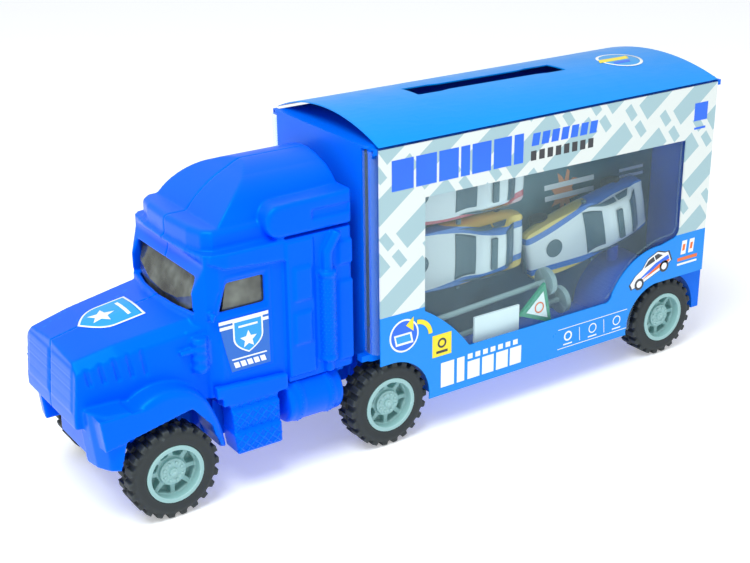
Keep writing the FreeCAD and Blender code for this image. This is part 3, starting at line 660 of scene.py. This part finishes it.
def build_door_sticker(side):
    """Label under the cab window: dark blue ground, pale stripes, badge with a star, row of blocks."""
    y = limits("door_sticker_left")[1].y
    badge = (88.0, 65.4)
    layers = [
        ("ground", [(78.6, 51.4), (95.8, 51.4), (97.9, 60.0), (100.6, 73.2), (78.6, 73.2)], INK_NAVY, 0.0),
        ("stripe_top", slanted(78.8, 100.5, 72.2, 73.6, 0.0), INK_WHITE, 0.08),
        ("stripe_low", slanted(78.8, 100.2, 69.9, 71.2, 0.0), INK_WHITE, 0.08),
        ("badge_edge", shield(*badge, 13.2, 14.4), INK_WHITE, 0.14),
        ("badge", shield(*badge, 11.8, 13.0), INK_CYAN, 0.2),
        ("star", star(badge[0], badge[1] - 1.6, 3.8), INK_WHITE, 0.26),
        ("bar", slanted(badge[0] - 4.2, badge[0] + 4.2, 69.4, 70.2, 0.0), INK_WHITE, 0.26),
        ("dash_1", slanted(80.0, 95.4, 56.2, 56.8, 0.3), INK_WHITE, 0.08),
    ]
    for i in range(5):
        block = slanted(80.4 + i * 2.9, 82.6 + i * 2.9, 52.8, 55.2, 0.8)
        layers.append((f"block_{i}", block, INK_WHITE, 0.08))
    for name, loop, ink, lift in layers:
        piece = plate(f"door_label_{name}_{side}", [loop], 0.06, side_place(side, y + 0.05 + lift))
        finish_piece(piece, ink, "truck", smooth=False)
        if name == "ground":
            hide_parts(f"door_sticker_{side}")

# ---------------------------------------------------------------- cargo box, doors, sleeve


def build_box():
    box_skin = bevelled(sharp_copy("cargo_box_skin", "cargo_box"), 0.5, 2)
    finish_piece(box_skin, BOX_BLUE, "truck", smooth=False)
    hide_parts("cargo_box")
    # The handle's darker blue is painted shade from the sleeve arch above it.
    set_material("carry_handle", SHADED_HANDLE_BLUE)
    set_material("insert_card", INSERT)
    set_material("card_roof", CARD_ROOF)
    for side in SIDES:
        set_material(f"door_{side}", CLEAR)
        set_material(f"card_side_{side}", CARD_SIDE)
        print_side(side)
        print_insert(side)
        window_frame(side)
    for poly in NODES["card_roof"].data.polygons:
        poly.use_smooth = False


def print_side(side):
    """Everything printed on one side panel: generic bars, icons and a small car picture."""
    body = f"{side}_door"
    count = [0]

    def ink(loops, material, lift=0.04):
        count[0] += 1
        piece = plate(f"print_{side}_{count[0]:02d}", loops, 0.05, side_place(side, CARD_FACE + lift))
        finish_piece(piece, material, body, smooth=False)

    for x0, width in ((25.0, 10.6), (13.2, 10.2), (1.8, 9.8), (-9.2, 4.6), (-15.0, 9.8), (-26.2, 9.4),
                      (-37.0, 5.0)):
        ink([slanted(x0 - width, x0, 113.2, 126.0, 0.0)], INK_BLUE)
    for i in range(7):
        ink([slanted(-50.4 - i * 5.4, -46.4 - i * 5.4, 119.6, 125.0, -0.8)], INK_BLUE)
    for i in range(8):
        ink([slanted(-49.2 - i * 4.6, -46.2 - i * 4.6, 113.2, 117.4, 0.0)], INK_DARK)
    ink([slanted(-151.6, -143.2, 114.5, 122.9, 0.0)], INK_BLUE)
    ink([slanted(-151.0, -143.8, 110.4, 111.4, 0.0)], INK_BLUE)
    for i in range(6):
        x0, width = (0.0, -8.6, -14.4, -22.4, -30.2, -38.0)[i], (7.0, 4.0, 6.6, 6.4, 6.6, 6.4)[i]
        ink([slanted(x0 - width, x0, 20.0, 28.4 if i > 1 else 31.6, 0.0)], INK_WHITE)
    for i in range(7):
        ink([slanted(-17.0 - i * 4.2, -14.4 - i * 4.2, 29.6, 32.0, 0.0)], INK_WHITE)
    ink([ring(19.2, 49.6, 7.4)], INK_WHITE)
    ink([ring(19.2, 49.6, 6.6)], INK_BLUE, 0.09)
    ink([slanted(14.6, 23.4, 45.6, 50.6, 1.0)], INK_WHITE, 0.14)
    ink([slanted(15.6, 22.8, 46.6, 49.8, 0.8)], INK_CYAN, 0.19)
    ink([arc(13.0, 47.0, 8.2, 92, 178, 10) + arc(13.0, 47.0, 6.2, 178, 92, 10)], INK_YELLOW, 0.24)
    ink([[(14.6, 57.2), (14.6, 50.8), (18.4, 54.0)]], INK_YELLOW, 0.24)
    ink([slanted(-5.4, 4.6, 35.2, 45.4, 0.0)], INK_YELLOW)
    ink([ring(-0.4, 41.2, 2.3), ring(-0.4, 41.2, 1.4)], INK_DARK, 0.09)
    ink([slanted(-3.4, 2.6, 36.6, 37.8, 0.0)], INK_DARK, 0.09)
    ink([slanted(-108.4, -66.0, 29.6, 29.9, 0.0)], INK_WHITE)
    ink([slanted(-108.4, -66.0, 20.0, 20.3, 0.0)], INK_WHITE)
    for i, x in enumerate((-72.0, -87.0, -102.0)):
        ink([ring(x, 25.6, 2.4), ring(x, 25.6, 1.9 if i else 1.6)], INK_WHITE)
        ink([slanted(x - 2.6, x + 2.6, 21.4, 22.0, 0.0)], INK_WHITE)
    for x in (-79.5, -94.5):
        ink([slanted(x, x + 0.3, 21.4, 28.2, 0.6)], INK_WHITE)
    print_small_car(ink)
    for i, x in enumerate((-141.4, -146.4)):
        ink([slanted(x - 3.2, x, 49.6, 56.4, -0.6)], INK_WHITE)
        ink([slanted(x - 2.4, x - 0.8, 51.4, 54.6, -0.4)], INK_ORANGE, 0.09)
    ink([slanted(-152.6, -139.6, 46.4, 48.0, 0.0)], INK_ORANGE)
    ink([slanted(-152.6, -139.6, 44.2, 45.2, 0.0)], INK_WHITE)


def print_insert(side):
    """Generic picture on the middle card: two pairs of pale bars over a warm patch."""
    low, high = limits("insert_card")
    face = (high.y - low.y) / 2

    def ink(loop, material, lift):
        piece = plate(f"insert_{side}_{material.name}_{lift:.2f}", loop, 0.05, side_place(side, face + lift))
        finish_piece(piece, material, "truck", smooth=False)

    blade = [(-101.0 + r * 1.05 * math.cos(a), 78.4 + r * 1.5 * math.sin(a))
             for r, a in ((6.0 + 2.4 * math.sin(i * 1.9), math.tau * i / 26) for i in range(26))]
    ink([blade], INK_PEACH, 0.06)
    ink([slanted(-119.4, -88.4, 81.2, 83.8, 0.3), slanted(-119.6, -89.0, 75.6, 78.2, 0.3)], INK_WHITE, 0.12)
    ink([slanted(-151.6, -135.8, 81.6, 83.2, 0.2), slanted(-151.8, -136.0, 78.2, 79.8, 0.2)], INK_WHITE, 0.18)


def print_small_car(ink):
    """Generic white coupe seen from the side, nose forward and down."""
    turn = Matrix.Rotation(math.radians(-20), 2)
    centre = Vector((-121.4, 46.6))

    def turned(loop, size=1.0):
        return [tuple(centre + turn @ (Vector(p) * size)) for p in loop]

    shell = [(12.6, -3.4), (13.0, -0.6), (9.0, 1.6), (4.0, 2.6), (-0.5, 5.6), (-7.0, 5.8), (-11.0, 2.8),
             (-13.0, 2.2), (-13.4, -3.0), (-9.4, -3.8), (7.0, -4.0)]
    ink([turned(shell, 1.07)], INK_DARK)
    ink([turned(shell)], INK_WHITE, 0.09)
    ink([turned([(3.0, 2.6), (-0.6, 4.8), (-4.0, 5.0), (-4.2, 2.4)])], INK_DARK, 0.14)
    ink([turned([(-4.8, 2.4), (-4.6, 5.0), (-6.8, 4.9), (-9.4, 2.5)])], INK_DARK, 0.14)
    ink([turned([(10.0, -1.6), (-4.0, 1.0), (-12.6, 0.8), (-12.8, -1.4), (-3.0, -1.4)])], INK_BLUE, 0.14)
    ink([turned([(6.0, -2.4), (-6.0, -0.6), (-12.6, -1.6), (-12.6, -2.6)])], INK_ORANGE, 0.19)
    for x in (8.0, -8.6):
        ink([turned(ring(x, -3.4, 2.9, 20))], INK_DARK, 0.19)
        ink([turned(ring(x, -3.4, 1.7, 16))], INK_WHITE, 0.24)


def window_frame(side):
    """Raised bead that stiffens the clear pane just inside the card window."""
    bm = bmesh.new()
    y = SIDES[side] * 37.9
    path = [(-137.6, 104.4), (-138.0, 64.4), (-136.0, 61.4)]
    path += arc(AXLE_X["rear"], AXLE_Z + 1.4, 40.4, 92, 30, 12) + [(-95.0, 37.6)]
    for a, b in zip(path, path[1:]):
        add_rod(bm, (a[0], y, a[1]), (b[0], y, b[1]), 0.42, 8)
    finish_piece(from_bmesh(f"pane_bead_{side}", bm), CLEAR, f"{side}_door")


def print_roof():
    """Generic graphic near the rear of the roof: pale disc segments with a yellow flash."""
    shapes = [("disc", ring(-128.0, 4.0, 11.0), INK_WHITE, 0.08),
              ("inner", ring(-128.0, 4.0, 9.6), INK_CYAN, 0.12),
              ("flash", slanted(-136.0, -118.0, 0.5, 5.0, 3.0), INK_YELLOW, 0.16),
              ("mark", slanted(-132.0, -122.0, 6.5, 9.5, 2.0), INK_BLUE, 0.16)]
    for name, loop, ink, lift in shapes:
        piece = plate(f"roof_print_{name}", [loop], 0.0, top_place(90.0), divide=4)
        drape_down(piece, [NODES["card_roof"]], lift)
        thicken(piece, 0.03)
        finish_piece(piece, ink, "truck")

# ---------------------------------------------------------------- small cars and loose parts

# Each seat is the x and z of the middle of a car's base and its nose-up angle.
SEATS = ((-28.0, 98.8, 0.0), (-28.0, 67.4, 0.0), (-104.5, 63.0, 12.3))
CAR_BASE_Y = 3.0
CAR_HALF_LENGTH = 36.0


def car_section(t):
    """Half width, sill, waist, shoulder and roof heights of a coupe at t = -1 (tail) to 1 (nose)."""
    width = 14.9 * (1 - 0.10 * abs(t) ** 3 - 0.22 * max(0.0, t - 0.55) - 0.12 * max(0.0, -t - 0.7))
    deck = 12.8 - 3.6 * max(0.0, t - 0.1) ** 1.6 - 1.6 * max(0.0, -t - 0.85)
    cabin = math.exp(-((t + 0.42) / 0.30) ** 4)
    return width, deck, deck + 6.2 * cabin, cabin


def build_car_mesh(name):
    """Lofted coupe body in car-local millimetres, stored with a 'car' attribute for its paint."""
    bm = bmesh.new()
    rings, stations = [], 34
    for i in range(stations + 1):
        t = -1 + 2 * i / stations
        w, deck, top, cabin = car_section(t)
        x = CAR_HALF_LENGTH * t
        roof_w = w * (0.93 - 0.20 * cabin)
        pull = 1.0 if 0 < i < stations else 0.9
        half = [(w * 0.90, 4.2), (w, 6.0), (w * 1.01, 9.0), (w * 0.97, deck - 1.2), (w * 0.93, deck),
                (roof_w, deck + 0.55 * (top - deck) + 0.2), (roof_w * 0.92, top - 0.3),
                (roof_w * 0.5, top + 0.25), (0.0, top + 0.45)]
        half = [(y * pull, 4.2 + (z - 4.2) * pull) for y, z in half]
        loop = [(x, y, z) for y, z in half] + [(x, -y, z) for y, z in reversed(half[:-1])]
        rings.append([bm.verts.new(p) for p in loop])
    for a, b in zip(rings, rings[1:]):
        n = len(a)
        for j in range(n):
            bm.faces.new((a[j], a[(j + 1) % n], b[(j + 1) % n], b[j]))
    bm.faces.new(rings[0])
    bm.faces.new(list(reversed(rings[-1])))
    obj = from_bmesh(name, bm)
    sub = obj.modifiers.new("sub", "SUBSURF")
    sub.levels = sub.render_levels = 1
    apply_modifiers(obj)
    local = obj.data.attributes.new("car", "FLOAT_VECTOR", "POINT")
    for item, v in zip(local.data, obj.data.vertices):
        item.vector = v.co / MM
    return obj


def on_car(obj, seat, side):
    """Stands a car-local piece on its edge in its seat, roof towards the window."""
    x, z, tilt = seat
    tilted = Matrix.Rotation(math.radians(tilt), 4, "Y") @ Matrix.Rotation(math.radians(-90), 4, "X")
    place = Matrix.Translation((x * MM, CAR_BASE_Y * MM, z * MM)) @ tilted
    obj.data.transform(place)
    if side == "right":
        obj.data.transform(Matrix.Diagonal((1, -1, 1, 1)))
        obj.data.flip_normals()
    return obj


def car_glass(name, body):
    """Windscreen, rear window and side windows as thin panels laid on the body."""
    panels = [
        [(3.6, -10.8), (3.6, 10.8), (-5.4, 8.8), (-5.4, -8.8)],
        [(-20.6, -8.4), (-20.6, 8.4), (-28.4, 9.8), (-28.4, -9.8)],
        [(1.4, 12.4), (-6.0, 11.0), (-13.4, 11.0), (-13.6, 12.6)],
        [(1.4, -12.4), (-13.6, -12.6), (-13.4, -11.0), (-6.0, -11.0)],
        [(-14.6, 11.0), (-14.8, 12.6), (-23.4, 12.8), (-20.0, 11.0)],
        [(-14.6, -11.0), (-20.0, -11.0), (-23.4, -12.8), (-14.8, -12.6)],
    ]
    pieces = [draped_panel(f"{name}_{i}", loop, body, 0.18) for i, loop in enumerate(panels)]
    return join(name, pieces)


def draped_panel(name, loop, body, lift):
    piece = plate(name, [loop], 0.0, top_place(40.0), divide=4)
    drape_down(piece, [body], lift)
    return thicken(piece, 0.12)


def join(name, pieces):
    bm = bmesh.new()
    for piece in pieces:
        bm.from_mesh(piece.data)
        bpy.data.objects.remove(piece)
    mesh = bpy.data.meshes.new(name)
    bm.to_mesh(mesh)
    bm.free()
    return add_object(name, mesh)


def car_trim(name):
    """Roof light bar, bumpers and mirrors."""
    bm = bmesh.new()
    add_box(bm, (-14.6, -7.4, 19.2), (-11.4, 7.4, 20.6))
    add_box(bm, (34.0, -9.0, 4.6), (36.6, 9.0, 6.6))
    for y in (15.4, -15.4):
        add_box(bm, (0.0, y - 0.9, 11.0), (2.2, y + 0.9, 12.6))
    return bevelled(from_bmesh(name, bm), 0.4)


def car_wheel_mesh(name):
    bm = bmesh.new()
    for x in (-22.0, 23.0):
        add_rod(bm, (x, -13.5, 4.6), (x, 13.5, 4.6), 0.7, 12)
        for s in (1, -1):
            add_rod(bm, (x, s * 11.2, 4.6), (x, s * 14.6, 4.6), 4.6, 28)
            add_rod(bm, (x, s * 14.4, 4.6), (x, s * 14.9, 4.6), 2.8, 20, 0.8)
    return bevelled(from_bmesh(name, bm), 0.35)


def build_cars():
    paints = [car_paint("car_paint_red", linear(206, 90, 106), linear(222, 186, 190), 1.2),
              car_paint("car_paint_yellow", linear(56, 120, 200), linear(240, 206, 90), 0.3),
              car_paint("car_paint_blue", linear(50, 120, 206), linear(236, 208, 110), 2.4)]
    for side in SIDES:
        for i, seat in enumerate(SEATS, 1):
            body = build_car_mesh(f"small_car_{side}_{i}")
            glass = car_glass(f"small_car_glass_{side}_{i}", body)
            emblem = draped_panel(f"small_car_emblem_{side}_{i}", ring(22.0, 0.0, 4.4), body, 0.2)
            trim = car_trim(f"small_car_trim_{side}_{i}")
            wheels = car_wheel_mesh(f"small_car_wheels_{side}_{i}")
            for piece, material in ((body, paints[i - 1]), (glass, CAR_GLASS), (emblem, INK_TEAL),
                                    (trim, INK_TEAL), (wheels, TYRE)):
                finish_piece(on_car(piece, seat, side), material, "truck")
            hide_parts(f"car_{side}_{i}_body")
            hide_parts(f"car_{side}_{i}_wheels")


def build_loose_parts():
    posts = bevelled(sharp_copy("sign_posts_skin", "sign_posts"), 0.25, 2)
    finish_piece(posts, POST_GREY, "truck")
    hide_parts("sign_posts")
    set_material("road_sign", INK_GREEN)
    set_material("number_plate_blank", INK_WHITE)
    corners = [Vector(p) for p in ((-46.0, 40.6), (-65.0, 32.8), (-60.4, 53.0))]
    centre = sum(corners, Vector((0, 0))) / 3
    inner = [tuple(centre + (c - centre) * 0.66) for c in corners]
    finish_piece(plate("road_sign_face", [inner], 0.1, side_place("left", 35.5)), INK_WHITE, "truck", False)
    mark = [ring(centre.x, centre.y, 2.7), ring(centre.x, centre.y, 2.0)]
    finish_piece(plate("road_sign_ring", mark, 0.1, side_place("left", 35.62)), INK_ORANGE, "truck", False)

# ---------------------------------------------------------------- studio


def build_stage():
    s = Shade("studio_floor", 0.55, Emission_Strength=0.32, Emission_Color=(1.0, 1.0, 1.0, 1.0))
    s.color(s.mix(s.math("MULTIPLY", s.noise(2.0), 0.3), linear(244, 245, 246), linear(236, 238, 240)))
    bm = bmesh.new()
    bmesh.ops.create_grid(bm, x_segments=1, y_segments=1, size=4000.0)
    floor = from_bmesh("studio_floor", bm)
    floor.data.materials.append(s.mat)
    floor.location.z = -0.0002
    world = bpy.data.worlds.new("studio")
    world.use_nodes = True
    world.node_tree.nodes["Background"].inputs["Color"].default_value = (0.95, 0.97, 1.0, 1.0)
    world.node_tree.nodes["Background"].inputs["Strength"].default_value = 0.62
    bpy.context.scene.world = world
    bpy.context.scene.view_settings.view_transform = "Standard"


def area_light(name, place, target, size, power):
    lamp = bpy.data.lights.new(name, "AREA")
    lamp.shape = "DISK"
    lamp.size = size
    lamp.energy = power
    lamp.color = (0.92, 0.985, 1.0)
    obj = add_object(name, lamp)
    obj.location = place
    obj.rotation_euler = (Vector(target) - Vector(place)).to_track_quat("-Z", "Y").to_euler()


def build_lights():
    middle = (0.0, 0.0, 0.07)
    area_light("key", (0.45, 0.25, 0.95), middle, 0.6, 9.0)
    area_light("side_fill", (-0.25, 0.95, 0.35), middle, 0.6, 0.7)
    area_light("front_fill", (1.0, 0.1, 0.3), middle, 0.5, 0.5)


CAMERA_PLACE = (0.3146, 0.4587, 0.2835)
CAMERA_HEADING = 236.18
CAMERA_PITCH = -22.21
CAMERA_ROLL = -0.617
CAMERA_LENS = 65.29


def build_camera():
    data = bpy.data.cameras.new("camera")
    data.lens = CAMERA_LENS
    data.sensor_width = 36.0
    data.clip_start = 0.01
    camera = add_object("camera", data)
    yaw, pitch, roll = (math.radians(a) for a in (CAMERA_HEADING, CAMERA_PITCH, CAMERA_ROLL))
    ahead = Vector((math.cos(yaw) * math.cos(pitch), math.sin(yaw) * math.cos(pitch), math.sin(pitch)))
    right = ahead.cross(Vector((0, 0, 1))).normalized()
    up = right.cross(ahead)
    right_rolled = right * math.cos(roll) + up * math.sin(roll)
    up_rolled = up * math.cos(roll) - right * math.sin(roll)
    turn = Matrix((right_rolled, up_rolled, -ahead)).transposed().to_4x4()
    camera.matrix_world = Matrix.Translation(CAMERA_PLACE) @ turn
    bpy.context.scene.camera = camera


build_wheels()
cab_skins = build_cab()
build_bonnet_sticker(cab_skins)
for one_side in SIDES:
    build_door_sticker(one_side)
build_box()
print_roof()
build_cars()
build_loose_parts()
build_stage()
build_lights()
build_camera()
